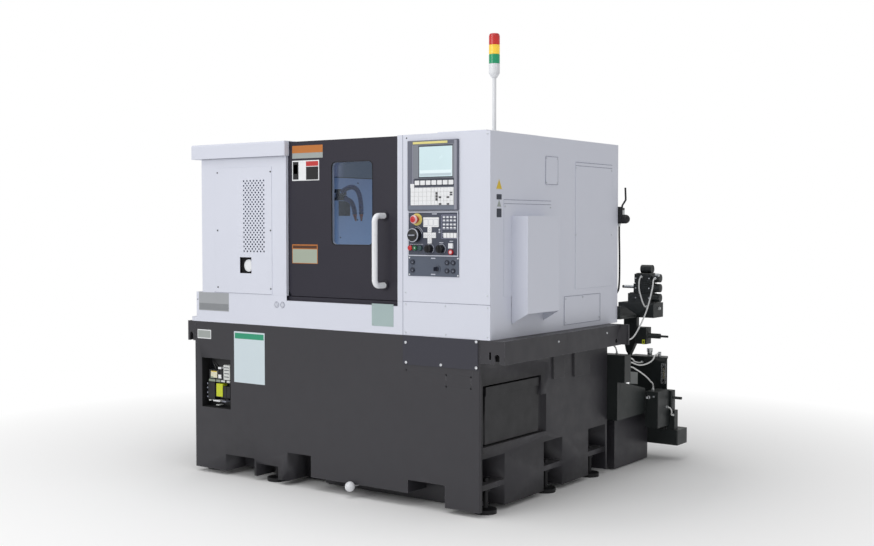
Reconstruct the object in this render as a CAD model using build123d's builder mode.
"""CNC turning lathe: slant-bed chucker on a welded base, with guard, control column and rear units."""
import os
from math import cos, radians, sin, sqrt, tan

from build123d import *

os.makedirs("parts", exist_ok=True)

# Driving dimensions, in millimetres. x runs right from the casing's right wall, y runs back from
# the casing's front, z runs up from the floor. Each group lists sizes, then the places they give.

# Base
foot_height = 25
base_height = 797
base_width = 1866
base_depth = 1250
base_inset = 57
base_corner_radius = 5
base_right = -base_inset
base_left = base_right - base_width
deck_z = foot_height + base_height

# Steps in the lower edge of the base's front: start from its left end, width and rise
edge_notch_depth = 150
edge_notches = [(232, 212, 90), (465, 148, 68), (679, 162, 149), (841, 615, 41), (1456, 217, 105)]

# Foot pockets in both side walls: distance from the front and width
pocket_starts = [(24, 191), (576, 184), (1036, 189)]
pocket_height = 245
pocket_depth = 150
foot_from_wall = 45
shelf_height = 123
shelf_thickness = 25
front_foot_x = base_left + 539
front_foot_y = 75
pad_diameter = 106
pad_rim = 20
stud_diameter = 24
stud_length = 150
foot_nut_width = 40
foot_nut_height = 20
foot_hole_clearance = 1

# Rails along both upper sides of the base, with the eyes that lift it
rail_height = 107
rail_plate = 10
right_rail_width = 135
left_rail_width = 53
rail_length = 1152
rear_lug_width = 38
rear_lug_length = 10
rail_hole_radius = 12
rail_hole_from_rear = 64
rail_hole_rise = 24
eye_width = 27
eye_height = 46
slot_width = 11
slot_height = 37
rail_bottom = deck_z - rail_height
rail_right = base_right + right_rail_width
rail_left = base_left - left_rail_width

# Chip drawer and its way through the base
drawer_front_gap = 27
drawer_opening_width = 520
drawer_opening_height = 285
drawer_opening_z = 322
drawer_cavity_length = 700
drawer_length = 640
drawer_inset = 8
drawer_front_side_gap = 38
drawer_rear_side_gap = 4
drawer_top_gap = 10
drawer_wall = 3
drawer_lift = 0.3
runner_height = 8
runner_width = 18
runner_setback = 60
drawer_lip = 44
drawer_lip_fold = 10
drawer_face_setback = 5
hand_recess_width = 51
hand_recess_height = 186
hand_recess_depth = 40
chute_wall_gap = 12
chute_length = 145
chute_side_gap = 60

# Breaker recess in the base's front
recess_start = 53
recess_width = 218
recess_height = 268
recess_z = 358
recess_depth = 95
breaker_plate = 4
breaker_setback = 60
breaker_depth = 35
breaker_width = 24
breaker_height = 62
breaker_pitch = 27
breaker_count = 6

# Fins on the base's right wall: start, width, height and top
fin_proud = 10
fins = [(658, 109, 121, 696), (870, 162, 128, 693)]

# Cover plate on the base's front: its screws from its left edge and down from its top. Small
# tapped holes below it, from the base's right edge and up from the floor
cover_width = 429
cover_height = 139
cover_thickness = 3
cover_inset = 8
cover_screw_radius = 4
cover_screws = [(19, 34), (19, 129), (222, 128), (421, 9), (421, 128)]
small_hole_radius = 5
small_hole_depth = 12
small_holes = [(48, 594), (48, 648), (187, 594), (187, 648), (419, 656)]

# Coolant tank under and behind the base
tunnel_start = 173
tunnel_width = 890
tunnel_height = 80
tunnel_lap = 2
drain_reach = 24
drain_z = 58
drain_pipe_radius = 6
tank_clearance = 8
tank_pan_height = 90
tank_floor_gap = 6
tank_wall = 3
tank_width = 1100
tank_rear_length = 410
tank_height = 265
tank_gap = 88
tank_mouth_border = 60
drain_x = -806
drain_radius = 25

# Casing
column_width = 494
post_width = 33
door_width = 717
left_body_width = 616
casing_depth = 1249
casing_sheet = 3
apron_height = 160
door_height = 786
roof_over_door = 2
left_body_height = 875
hood_side_overhang = 59
hood_front_overhang = 18
hood_height = 77
casing_z = deck_z
sill_z = casing_z + apron_height
door_top = sill_z + door_height
roof_z = door_top + roof_over_door
door_right = -column_width - post_width
door_left = door_right - door_width
body_left = door_left - left_body_width
hood_z = casing_z + left_body_height
hood_top = hood_z + hood_height

# Door, its window and handle
door_setback = 18
door_thickness = 25
door_corner_cut = 30
window_width = 263
window_height = 411
window_start = 289
window_sill = 264
window_radius = 25
glass_thickness = 6
glass_lap = 12
handle_diameter = 28
handle_reach = 78
handle_length = 335
handle_from_right = 91
handle_lift = 72
handle_bend = 30
handle_flange = 23
handle_flange_thickness = 6
rail_gap = 0.3
lower_rail_height = 25
lower_rail_width = 33
upper_rail_height = 30
upper_rail_width = 14
upper_rail_gap = 3

# Vent panel on the left body
vent_panel_width = 412
vent_panel_height = 662
vent_panel_start = 105
vent_panel_thickness = 2
vent_hole_radius = 5.5
vent_pitch_x = 24
vent_pitch_z = 24.5
vent_columns = 7
vent_rows = 16
vent_from_left = 212
vent_from_bottom = 222
gauge_window = 84
gauge_from_left = 181
gauge_from_bottom = 106
gauge_radius = 31

# Side panels and duct hood on the right wall
side_panel_thickness = 2
front_panel_start = 112
front_panel_width = 425
front_panel_z = 193
front_panel_height = 447
rear_panel_start = 782
rear_panel_width = 394
rear_panel_z = 200
rear_panel_height = 639
lower_panel_start = 672
lower_panel_width = 100
lower_panel_z = 25
lower_panel_height = 141
hatch_start = 486
hatch_width = 117
hatch_z = 720
hatch_height = 134
duct_start = 180
duct_width = 290
duct_reach = 87
duct_z = 63
duct_height = 502
duct_rise = 51
duct_wall = 3

# Control column, measured from the column's left edge and the seam above the apron
unit_width = 290
unit_start = 33
unit_proud = 12
unit_depth = 70
unit_height = 327
unit_z = 430
bezel_radius = 8
screen_width = 184
screen_height = 139
screen_start = 65
screen_z = 156
screen_recess = 4
softkey_count = 7
softkey_pitch = 32
softkey_width = 24
softkey_height = 16
softkey_start = 64
softkey_z = 134
key_proud = 3
keypad_start = 17
keypad_width = 244
keypad_height = 88
keypad_z = 26
keypad_columns = 10
keypad_rows = 4
keypad_gap = 5
operator_height = 209
operator_z = 217
operator_proud = 6
socket_plate_height = 94
socket_plate_z = 123
socket_radius = 11
socket_proud = 5
estop_radius = 20
estop_ring_radius = 28
estop_stem_radius = 11
estop_height = 35
wheel_radius = 32
wheel_height = 26
wheel_neck_radius = 12
knob_radius = 18
knob_height = 22
knob_neck_radius = 8
button_radius = 12
button_proud = 7
button_depth = 10
square_button_width = 24
key_switch_radius = 11
running_gap = 0.3
shaft_gap = 0.1

# Signal lamp
pole_x = -45
pole_y = 100
pole_radius = 9
pole_length = 246
pole_foot_radius = 22
pole_foot_height = 6
lamp_radius = 25
lamp_base_height = 64
lens_height = 43
lamp_cap_height = 8

# Spindle line: axis from the casing's front and above the deck
spindle_y = 330
spindle_rise = 298
slant = 45
bed_drop = 230
bed_right_gap = 33
bed_length = 1080
bed_rear = 1110
ledge_start = 880
way_width = 46
way_height = 22
way_low = 40
way_high = 380
head_length = 390
head_low = 140
head_high = 180
head_top = 150
head_bore_radius = 72
head_from_door = 10
spindle_bore_radius = 26
spindle_radius = 60
nose_radius = 85
nose_length = 28
journal_gap = 0.05
spindle_tail = 105
pulley_radius = 95
pulley_width = 70
pulley_rim = 6
belt_groove_depth = 8
belt_grooves = 3
chuck_radius = 105
chuck_length = 88
chuck_bore_radius = 33
jaw_width = 34
jaw_length = 62
jaw_proud = 42
jaw_tail = 14
jaw_inner = 34
cylinder_radius = 88
cylinder_length = 96
motor_width = 230
motor_length = 330
motor_foot = 22
motor_from_head = 8
motor_pulley_radius = 65
motor_shaft_radius = 19
belt_thickness = 7
bar_hole_radius = 45

# Slides and turret
saddle_length = 180
saddle_thickness = 40
saddle_low = -20
saddle_high = 520
saddle_right_gap = 64
turret_u = 330
turret_radius = 140
turret_thickness = 70
turret_sides = 12
turret_stations = 6
first_station = 15
turret_body_width = 220
turret_body_height = 255
turret_spigot_radius = 45
turret_spigot_length = 30
tool_pocket_radius = 12.5
tool_block_width = 50
tool_block_height = 34
slide_gap = 0.3
screw_radius = 16
screw_rise = 8
x_screw_radius = 12.5
servo_width = 130
servo_length = 190

# Work chamber
liner_sheet = 3
liner_left_gap = 6
liner_right_gap = 12
liner_rear = 1140
liner_front_gap = 4
liner_fold_z = 617
liner_fold_run = 180
chuck_hole_gap = 14
hose_block_y = 370
hose_block_z = 683
hose_block_size = 60
hose_bead_radius = 13

# Rear units
duct_box_width = 103
duct_box_depth = 75
duct_box_z = 290
duct_box_height = 355
tail_box_length = 265
tail_box_width = 60
tail_box_drop = 68
tail_box_height = 207
pump_box_width = 78
pump_box_depth = 150
pump_box_z = 207
pump_box_height = 203
oil_tank_width = 236
oil_tank_depth = 83
oil_tank_setback = 52
oil_tank_z = 179
oil_tank_height = 399
oil_tank_right = 36
oil_corner = (36, 75)
oil_lid_lap = 4
oil_lid_thickness = 5
filler_from_right = 126
filler_neck = (14, 24)
filler_cap = (17, 19)
breather_from_right = 64
breather_size = (9, 26)
gauge_strip = (26, 28, 118)
pump_size = (52, 48, 112)
pump_right = 92
pump_z = 291
pump_stub = (8, 49, 70)
pump_foot = (60, 109, 44)
sump_box_width = 640
sump_box_depth = 135
sump_box_height = 86
sump_box_right = 129
manifold_width = 213
manifold_depth = 120
manifold_height = 80
manifold_z = 838
manifold_right = 122
manifold_y = 1440
valve_height = 54
valve_from_left = 48
valve_steps = (0, 34, 39)
valve_from_right = 28
valve_gap = 4
valve_border = 20
solenoid_radius = 23
solenoid_length = 40
solenoid_plug = (24, 20)
top_solenoid = (22, 86)
lever_reach = 51
lever_rise = 84
lever_radius = 8
arm_width = 110
arm_thickness = 14
post_left = -72
post_right = 7
post_drop = 129
post_tip = (-38, 222)
post_foot = (14, 30)
post_setback = 30
post_thickness = 30
plug_block_right = 72
plug_block_drop = 56
plug_block_size = (62, 91)
plug_radii = (14, 6)
plug_reach = 187
plug_nose = 46
regulator_x = 17
regulator_z = 1376
regulator_width = 30
regulator_top = 60
regulator_depth = 46
bowl_radius = 24
bowl_length = 37
lead_radius = 4

# Places that several pieces share
spindle_z = deck_z + spindle_rise
slant_cos = cos(radians(slant))
slant_sin = sin(radians(slant))
bed_right = door_right - bed_right_gap
bed_left = bed_right - bed_length
chamber_left = door_left + liner_left_gap
chamber_right = door_right - liner_right_gap
tank_right = base_right
column_left = -column_width
tank_rear = base_depth + tank_gap + tank_rear_length


def block(x0, x1, y0, y1, z0, z1, mode=Mode.ADD):
    """Box between two corners, given by its low and high values along each axis."""
    with Locations(((x0 + x1) / 2, (y0 + y1) / 2, (z0 + z1) / 2)):
        Box(x1 - x0, y1 - y0, z1 - z0, mode=mode)


def rod_x(x0, x1, y, z, radius, mode=Mode.ADD):
    """Cylinder along x from x0 to x1."""
    with Locations(Location(((x0 + x1) / 2, y, z), (0, 90, 0))):
        Cylinder(radius, x1 - x0, mode=mode)


def rod_y(x, y0, y1, z, radius, mode=Mode.ADD):
    """Cylinder along y from y0 to y1."""
    with Locations(Location((x, (y0 + y1) / 2, z), (90, 0, 0))):
        Cylinder(radius, y1 - y0, mode=mode)


def rod_z(x, y, z0, z1, radius, mode=Mode.ADD):
    """Cylinder along z from z0 to z1."""
    with Locations((x, y, (z0 + z1) / 2)):
        Cylinder(radius, z1 - z0, mode=mode)


def slanted(u, v):
    """Point (y, z) at u along the slant and v square to it, both from the spindle's axis."""
    return (spindle_y + u * slant_cos - v * slant_sin, spindle_z + u * slant_sin + v * slant_cos)


def slant_block(x0, x1, u0, u1, v0, v1, mode=Mode.ADD):
    """Box square to the slant, between two corners given along x, u and v."""
    y, z = slanted((u0 + u1) / 2, (v0 + v1) / 2)
    with Locations(Location(((x0 + x1) / 2, y, z), (slant, 0, 0))):
        Box(x1 - x0, u1 - u0, v1 - v0, mode=mode)


# Base: welded box with foot pockets, notched lower edge, drawer cavity and breaker recess
pocket_z = foot_height + pocket_height
shelf_z = foot_height + shelf_height
drawer_end = drawer_front_gap + drawer_opening_width
drawer_top = drawer_opening_z + drawer_opening_height
tunnel_right = base_right - tunnel_start
tunnel_left = tunnel_right - tunnel_width
recess_left = base_left + recess_start
with BuildPart() as base:
    block(base_left, base_right, 0, base_depth, foot_height, deck_z)
    fillet(base.edges().filter_by(Axis.Z), radius=base_corner_radius)
    # Lower front edge and the tunnel that the coolant pan fills
    for start, width, rise in edge_notches:
        block(base_left + start, base_left + start + width, 0, edge_notch_depth,
              foot_height, foot_height + rise, mode=Mode.SUBTRACT)
    block(tunnel_left, tunnel_right, edge_notch_depth - tunnel_lap, base_depth, foot_height,
          foot_height + tunnel_height, mode=Mode.SUBTRACT)
    # Foot pockets, mirrored on the hidden side, each with a shelf that its levelling stud passes
    for start, width in pocket_starts:
        for wall, side in ((base_right, -1), (base_left, 1)):
            inner = wall + side * pocket_depth
            low, high = min(wall, inner), max(wall, inner)
            block(low, high, start, start + width, foot_height, pocket_z, mode=Mode.SUBTRACT)
            block(low, high, start, start + width, shelf_z - shelf_thickness, shelf_z)
    # Chip drawer's cavity, its hand recess and the chute from the work chamber
    block(base_right - drawer_cavity_length, base_right, drawer_front_gap, drawer_end,
          drawer_opening_z, drawer_top, mode=Mode.SUBTRACT)
    block(base_right - hand_recess_depth, base_right, drawer_end, drawer_end + hand_recess_width,
          drawer_opening_z, drawer_opening_z + hand_recess_height, mode=Mode.SUBTRACT)
    chute_right = chamber_right - liner_sheet - chute_wall_gap
    block(chute_right - chute_length, chute_right, drawer_front_gap + chute_side_gap,
          drawer_end - chute_side_gap, drawer_top, deck_z, mode=Mode.SUBTRACT)
    block(recess_left, recess_left + recess_width, 0, recess_depth, recess_z,
          recess_z + recess_height, mode=Mode.SUBTRACT)
    # Fins where the side wall was left proud
    for start, width, height, top in fins:
        block(base_right, base_right + fin_proud, start, start + width, top - height, top)
    # Side rails: channels open below, closed in front by an end plate with the lifting eye
    for wall, outer in ((base_right, rail_right), (base_left, rail_left)):
        low, high = min(wall, outer), max(wall, outer)
        web = outer - rail_plate if outer > wall else outer + rail_plate
        block(low, high, 0, rail_length, deck_z - rail_plate, deck_z)
        block(min(outer, web), max(outer, web), 0, rail_length, rail_bottom, deck_z)
        block(low, high, 0, rail_plate, rail_bottom, deck_z)
        block(low, high, rail_length - rail_plate, rail_length, rail_bottom, deck_z)
    block(base_right, rail_right + rear_lug_width, rail_length, rail_length + rear_lug_length,
          rail_bottom, deck_z)
    rod_x(rail_right - rail_plate, rail_right, rail_length - rail_hole_from_rear,
          rail_bottom + rail_hole_rise, rail_hole_radius, mode=Mode.SUBTRACT)
    # Lifting eyes in the end plates, round on top, with a slot beside the right one
    with BuildSketch(Plane.XZ):
        for x in ((base_right + rail_right) / 2 + eye_width, (base_left + rail_left) / 2):
            with Locations((x, rail_bottom + (eye_height - eye_width / 2) / 2)):
                Rectangle(eye_width, eye_height - eye_width / 2)
            with Locations((x, rail_bottom + eye_height - eye_width / 2)):
                Circle(eye_width / 2)
        with Locations(((base_right + rail_right) / 2 - slot_width, rail_bottom + slot_height)):
            SlotOverall(slot_height, slot_width, rotation=90)
    extrude(amount=-rail_plate, mode=Mode.SUBTRACT)
    # Stud holes of the levelling feet
    for start, width in pocket_starts:
        for wall, side in ((base_right, -1), (base_left, 1)):
            rod_z(wall + side * foot_from_wall, start + width / 2, shelf_z - shelf_thickness,
                  shelf_z, stud_diameter / 2 + foot_hole_clearance, mode=Mode.SUBTRACT)
    rod_z(front_foot_x, front_foot_y, foot_height, stud_length + foot_height + pad_rim,
          stud_diameter / 2 + foot_hole_clearance, mode=Mode.SUBTRACT)
    # Small tapped holes left open below the cover plate
    for from_right, z in small_holes:
        rod_y(base_right - from_right, 0, small_hole_depth, z, small_hole_radius, mode=Mode.SUBTRACT)

with BuildPart() as base_cover_plate:
    cover_left = base_right - cover_inset - cover_width
    block(cover_left, cover_left + cover_width, -cover_thickness, 0, deck_z - cover_height, deck_z)
    for from_left, from_top in cover_screws:
        rod_y(cover_left + from_left, -cover_thickness, 0, deck_z - from_top, cover_screw_radius,
              mode=Mode.SUBTRACT)

# Levelling feet: pad and stud turned as one, with a hexagon nut under each shelf
feet = [(wall + side * foot_from_wall, start + width / 2, shelf_z - shelf_thickness)
        for start, width in pocket_starts for wall, side in ((base_right, -1), (base_left, 1))]
feet.append((front_foot_x, front_foot_y, foot_height + edge_notches[1][2]))
with BuildPart() as levelling_feet:
    for x, y, seat_z in feet:
        axis_plane = Plane(origin=(x, y, 0), x_dir=(1, 0, 0), z_dir=(0, -1, 0))
        with BuildSketch(axis_plane) as foot_profile:
            with BuildLine():
                Polyline((0, 0), (pad_diameter / 2, 0), (pad_diameter / 2, pad_rim),
                         (stud_diameter * 0.8, foot_height), (stud_diameter / 2, foot_height),
                         (stud_diameter / 2, foot_height + stud_length - stud_diameter / 2), (0, foot_height
                         + stud_length - stud_diameter / 2), close=True)
            make_face()
        revolve(axis=Axis((x, y, 0), (0, 0, 1)))
        with BuildSketch(Plane.XY.offset(seat_z - foot_nut_height)) as nut_outline:
            with Locations((x, y)):
                RegularPolygon(foot_nut_width / 2, 6, major_radius=False)
        extrude(amount=foot_nut_height)

# Chip drawer: open tray on two runners, its front set back below a folded lip
tray_left = base_right - drawer_inset - drawer_length
tray_right = base_right - drawer_inset
tray_front = drawer_front_gap + drawer_front_side_gap
tray_back = drawer_end - drawer_rear_side_gap
tray_floor = drawer_opening_z + runner_height
tray_top = drawer_top - drawer_top_gap
tray_face = tray_right - drawer_face_setback
with BuildPart() as chip_drawer:
    block(tray_left, tray_face, tray_front, tray_back, tray_floor, tray_top)
    block(tray_left + drawer_wall, tray_face - drawer_wall, tray_front + drawer_wall,
          tray_back - drawer_wall, tray_floor + drawer_wall, tray_top, mode=Mode.SUBTRACT)
    for runner_y in (tray_front, tray_back - runner_width):
        block(tray_left, tray_face - runner_setback, runner_y, runner_y + runner_width,
              drawer_opening_z + drawer_lift, tray_floor)
    # Lip: the front sheet folded out, up and back over its own edge
    with BuildSketch(Plane.XZ.offset(-tray_front)) as lip_profile:
        with BuildLine():
            Polyline((tray_face, tray_top - drawer_lip), (tray_right, tray_top - drawer_lip + 2),
                     (tray_right, tray_top), (tray_face - drawer_lip_fold, tray_top),
                     (tray_face - drawer_lip_fold, tray_top - drawer_wall), (tray_face, tray_top - drawer_wall),
                     close=True)
        make_face()
    extrude(amount=tray_front - tray_back)

# Breaker panel: back plate in the recess, a row of breakers and a terminal block on it
with BuildPart() as breaker_panel:
    plate_y = breaker_setback
    block(recess_left, recess_left + recess_width, plate_y, plate_y + breaker_plate,
          recess_z, recess_z + recess_height)
    block(recess_left, recess_left + breaker_plate, plate_y, recess_depth, recess_z, recess_z + recess_height)
    block(recess_left + recess_width - breaker_plate, recess_left + recess_width, plate_y,
          recess_depth, recess_z, recess_z + recess_height)
    for row_z in (0.64, 0.32):
        with Locations((recess_left + recess_width / 2, plate_y - breaker_depth / 2,
                        recess_z + recess_height * row_z)):
            with GridLocations(breaker_pitch, 1, breaker_count, 1):
                Box(breaker_width, breaker_depth, breaker_height)

# Drain cock of the coolant pan: pipe below the front plate's edge with a ball-shaped cap
with BuildPart() as drain_cap:
    with Locations((drain_x, -drain_reach, drain_z)):
        Sphere(drain_radius)
    rod_y(drain_x, -drain_reach, edge_notch_depth, drain_z, drain_pipe_radius)

# Coolant tank: pan in the base's tunnel and a deeper tank behind the base, open on top there
with BuildPart() as coolant_tank:
    pan_top = tank_floor_gap + tank_pan_height
    pan_left, pan_right = tunnel_left + tank_clearance, tunnel_right - tank_clearance
    tank_left = tank_right - tank_width
    tank_front = base_depth + tank_gap
    tank_top = tank_floor_gap + tank_height
    block(pan_left, pan_right, edge_notch_depth, tank_front, tank_floor_gap, pan_top)
    block(tank_left, tank_right, tank_front, tank_rear, tank_floor_gap, tank_top)
    block(tank_left + tank_wall, tank_right - tank_wall, tank_front + tank_wall,
          tank_rear - tank_wall, tank_floor_gap + tank_wall, tank_top - tank_wall, mode=Mode.SUBTRACT)
    block(tank_left + tank_mouth_border, tank_right - tank_mouth_border / 3,
          tank_front + tank_wall, tank_front + tank_rear_length * 0.6,
          tank_top - tank_wall, tank_top, mode=Mode.SUBTRACT)

# Apron: skirt round the front and left of the base's top, flanged under the door
rear_y = casing_depth
apron_left = body_left - hood_side_overhang + 12
with BuildPart() as apron:
    block(apron_left, column_left, 0, casing_sheet, casing_z, sill_z - lower_rail_height)
    block(apron_left, door_left, 0, casing_sheet, casing_z, sill_z)
    block(body_left + casing_sheet, column_left, 0, door_setback + lower_rail_width + casing_sheet,
          sill_z - lower_rail_height - casing_sheet, sill_z - lower_rail_height)
    block(apron_left, apron_left + casing_sheet, 0, rear_y, casing_z, sill_z)
    block(apron_left - hood_side_overhang * 0.6, apron_left, 0, rear_y, casing_z, casing_z + 24)
    block(apron_left, body_left, 0, rear_y, sill_z - casing_sheet, sill_z)
    for x in (door_left - 70, door_left - 29):
        rod_y(x, 0, casing_sheet, casing_z + 0.7 * apron_height, 14, mode=Mode.SUBTRACT)

# Left body: folded shell over the headstock, open towards the door
with BuildPart() as left_cover:
    body_top = hood_z
    block(body_left, door_left, 0, rear_y, casing_z, body_top)
    block(body_left + casing_sheet, door_left, casing_sheet, rear_y - casing_sheet,
          casing_z, body_top, mode=Mode.SUBTRACT)
    block(body_left + casing_sheet, door_left, 0, casing_sheet, casing_z, sill_z, mode=Mode.SUBTRACT)
    block(body_left, body_left + casing_sheet, 0, casing_sheet, casing_z, sill_z, mode=Mode.SUBTRACT)
    panel_left = body_left + vent_panel_start
    block(panel_left + 20, panel_left + vent_panel_width - 20, 0, casing_sheet,
          sill_z + 24, sill_z + vent_panel_height - 20, mode=Mode.SUBTRACT)
    rod_x(body_left, body_left + casing_sheet, spindle_y, spindle_z, bar_hole_radius,
          mode=Mode.SUBTRACT)

# Vent panel: sheet with a staggered field of hexagonal holes and a square window for the gauge
with BuildPart() as vent_panel:
    panel_y = -vent_panel_thickness
    panel_z = sill_z + 3
    block(panel_left, panel_left + vent_panel_width, panel_y, 0, panel_z, panel_z + vent_panel_height)
    field_x = panel_left + vent_from_left + (vent_columns - 1) * vent_pitch_x / 2
    field_z = panel_z + vent_from_bottom + (vent_rows - 1) * vent_pitch_z / 2
    with BuildSketch(Plane.XZ) as vent_field:
        with Locations((field_x, field_z)):
            with GridLocations(vent_pitch_x, vent_pitch_z, vent_columns, vent_rows):
                RegularPolygon(vent_hole_radius, 6)
            with GridLocations(vent_pitch_x, vent_pitch_z, vent_columns - 1, vent_rows - 1):
                RegularPolygon(vent_hole_radius, 6)
    extrude(amount=vent_panel_thickness, mode=Mode.SUBTRACT)
    gauge_x = panel_left + gauge_from_left
    gauge_z = panel_z + gauge_from_bottom
    block(gauge_x, gauge_x + gauge_window, panel_y, 0, gauge_z, gauge_z + gauge_window,
          mode=Mode.SUBTRACT)
    # Gauge behind its window, on a bracket folded from the panel's back
    dial_x = gauge_x + gauge_window - gauge_radius + 4
    rod_y(dial_x, casing_sheet + 4, casing_sheet + 10, gauge_z + gauge_window / 2, gauge_radius)
    block(gauge_x - 12, gauge_x + gauge_window + 12, casing_sheet + 10, casing_sheet + 12,
          gauge_z - 6, gauge_z + gauge_window + 6)
    for z in (gauge_z - 6, gauge_z + gauge_window + 4):
        block(gauge_x - 12, gauge_x + gauge_window + 12, 0, casing_sheet + 12, z, z + 2)

# Hood: cap over the left body, open below and towards the door
with BuildPart() as hood:
    hood_left = body_left - hood_side_overhang
    hood_right = door_left
    block(hood_left, hood_right, -hood_front_overhang, rear_y, hood_z, hood_top)
    fillet(hood.edges().filter_by(Axis.X).group_by(Axis.Z)[-1].sort_by(Axis.Y)[0], radius=10)
    block(hood_left + casing_sheet, hood_right, casing_sheet - hood_front_overhang,
          rear_y - casing_sheet, hood_z, hood_top - casing_sheet, mode=Mode.SUBTRACT)
    # Ledge that closes the overhang below and seats the cap on the body
    block(hood_left + casing_sheet, body_left + casing_sheet, casing_sheet - hood_front_overhang,
          rear_y, hood_z, hood_z + casing_sheet)

# Cabinet: shell of the column, roof, right and rear walls, open below
with BuildPart() as cabinet:
    block(door_left, 0, 0, rear_y, casing_z, roof_z)
    block(door_left, -casing_sheet, casing_sheet, rear_y - casing_sheet, casing_z,
          roof_z - casing_sheet, mode=Mode.SUBTRACT)
    # Doorway, clear of the sliding door, and the apron's place
    door_back = door_setback + door_thickness + 7
    block(door_left, door_right, 0, door_back, sill_z - lower_rail_height, roof_z, mode=Mode.SUBTRACT)
    block(door_left, column_left, 0, casing_sheet, casing_z, sill_z, mode=Mode.SUBTRACT)
    # Post beside the door, folded back into the column
    block(door_right, door_right + casing_sheet, 0, door_back + 40, sill_z - lower_rail_height,
          roof_z - casing_sheet)
    # Column opening behind the control plate, in a seat that laps the sheets round it
    block(column_left, 0, 0, casing_sheet, sill_z + 1, roof_z, mode=Mode.SUBTRACT)
    block(column_left - casing_sheet, 0, casing_sheet, 2 * casing_sheet, sill_z + 1 - casing_sheet, roof_z)
    block(column_left + 25, -25, 0, 2 * casing_sheet, sill_z + 30, roof_z - 25, mode=Mode.SUBTRACT)
    # Raised cover on the roof
    block(-400, -120, 150, 620, roof_z, roof_z + 18)

# Control plate on the column's front, cut out for the units in it
unit_left = column_left + unit_start
unit_right = unit_left + unit_width
unit_bottom = sill_z + unit_z
operator_bottom = sill_z + operator_z
socket_bottom = sill_z + socket_plate_z
with BuildPart() as column_plate:
    block(column_left, 0, 0, casing_sheet, sill_z + 1, roof_z)
    block(unit_left + 10, unit_right - 10, 0, casing_sheet, unit_bottom + 10,
          unit_bottom + unit_height - 10, mode=Mode.SUBTRACT)
    block(unit_left + 3, unit_right - 10, 0, casing_sheet, operator_bottom + 8,
          operator_bottom + operator_height - 8, mode=Mode.SUBTRACT)
    block(unit_left + 10, unit_right - 10, 0, casing_sheet, socket_bottom + 8,
          socket_bottom + socket_plate_height - 8, mode=Mode.SUBTRACT)

# Access panels screwed on the right wall
with BuildPart() as side_panels:
    panels = [(front_panel_start, front_panel_width, front_panel_z, front_panel_height),
              (rear_panel_start, rear_panel_width, rear_panel_z, rear_panel_height),
              (lower_panel_start, lower_panel_width, lower_panel_z, lower_panel_height),
              (hatch_start, hatch_width, hatch_z, hatch_height)]
    for start, width, low, height in panels:
        block(0, side_panel_thickness, start, start + width, casing_z + low, casing_z + low + height)

# Duct hood: box on the right wall whose underside slopes up and is open
with BuildPart() as duct_hood:
    duct_bottom = casing_z + duct_z
    with BuildSketch(Plane.XZ.offset(-duct_start)) as duct_profile:
        with BuildLine():
            Polyline((side_panel_thickness, duct_bottom),
                     (side_panel_thickness + duct_reach, duct_bottom + duct_rise),
                     (side_panel_thickness + duct_reach, duct_bottom + duct_height),
                     (side_panel_thickness, duct_bottom + duct_height), close=True)
        make_face()
    extrude(amount=-duct_width)
    block(side_panel_thickness, side_panel_thickness + duct_reach - duct_wall,
          duct_start + duct_wall, duct_start + duct_width - duct_wall, duct_bottom,
          duct_bottom + duct_height - duct_wall, mode=Mode.SUBTRACT)

# Sliding door: thick panel with a lower corner cut, rounded window and a rebate for the glass
door_front = door_setback
door_back_face = door_setback + door_thickness
window_left = door_left + window_start
window_right = window_left + window_width
window_z = sill_z + window_sill
window_mid = ((window_left + window_right) / 2, window_z + window_height / 2)
handle_x = door_right - handle_from_right
handle_low = sill_z + handle_lift
with BuildPart() as door:
    with BuildSketch(Plane.XZ.offset(-door_front)) as door_outline:
        with BuildLine():
            Polyline((door_left + door_corner_cut * 0.6, sill_z + rail_gap), (door_right, sill_z + rail_gap),
                     (door_right, door_top), (door_left, door_top),
                     (door_left, sill_z + door_corner_cut), close=True)
        make_face()
        with Locations(window_mid):
            RectangleRounded(window_width, window_height, window_radius, mode=Mode.SUBTRACT)
    extrude(amount=-door_thickness)
    with BuildSketch(Plane.XZ.offset(-door_back_face)) as rebate:
        with Locations(window_mid):
            RectangleRounded(window_width + 2 * glass_lap, window_height + 2 * glass_lap, window_radius)
    extrude(amount=glass_thickness, mode=Mode.SUBTRACT)

with BuildPart() as door_glass:
    with BuildSketch(Plane.XZ.offset(-door_back_face)) as pane:
        with Locations(window_mid):
            RectangleRounded(window_width + 2 * glass_lap, window_height + 2 * glass_lap, window_radius)
    extrude(amount=glass_thickness)

with BuildPart() as door_handle:
    grip_y = door_front - handle_reach
    with BuildLine():
        FilletPolyline((handle_x, door_front, handle_low), (handle_x, grip_y, handle_low),
                       (handle_x, grip_y, handle_low + handle_length),
                       (handle_x, door_front, handle_low + handle_length), radius=handle_bend)
    with BuildSketch(Plane(origin=(handle_x, door_front, handle_low), z_dir=(0, -1, 0))):
        Circle(handle_diameter / 2)
    sweep()
    for z in (handle_low, handle_low + handle_length):
        rod_y(handle_x, door_front - handle_flange_thickness, door_front, z, handle_flange)

# Rails: the lower one carries the door, the upper one steadies its top from behind
with BuildPart() as door_rails:
    rail_low = sill_z - lower_rail_height
    block(body_left + 2 * casing_sheet, door_right, door_setback - casing_sheet,
          door_setback - casing_sheet + lower_rail_width, rail_low, sill_z - casing_sheet)
    block(body_left + 2 * casing_sheet, door_right, door_front + 8, door_front + 16,
          sill_z - casing_sheet, sill_z)
    rail_back = door_back_face + upper_rail_gap
    block(body_left + 2 * casing_sheet, door_right, rail_back, rail_back + upper_rail_width,
          roof_z - casing_sheet - upper_rail_height, roof_z - casing_sheet)
    for x in (body_left + 2 * casing_sheet, door_right - 12):
        block(x, x + 12, rail_back, rail_back + upper_rail_width, sill_z - casing_sheet,
              roof_z - casing_sheet)

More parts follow.
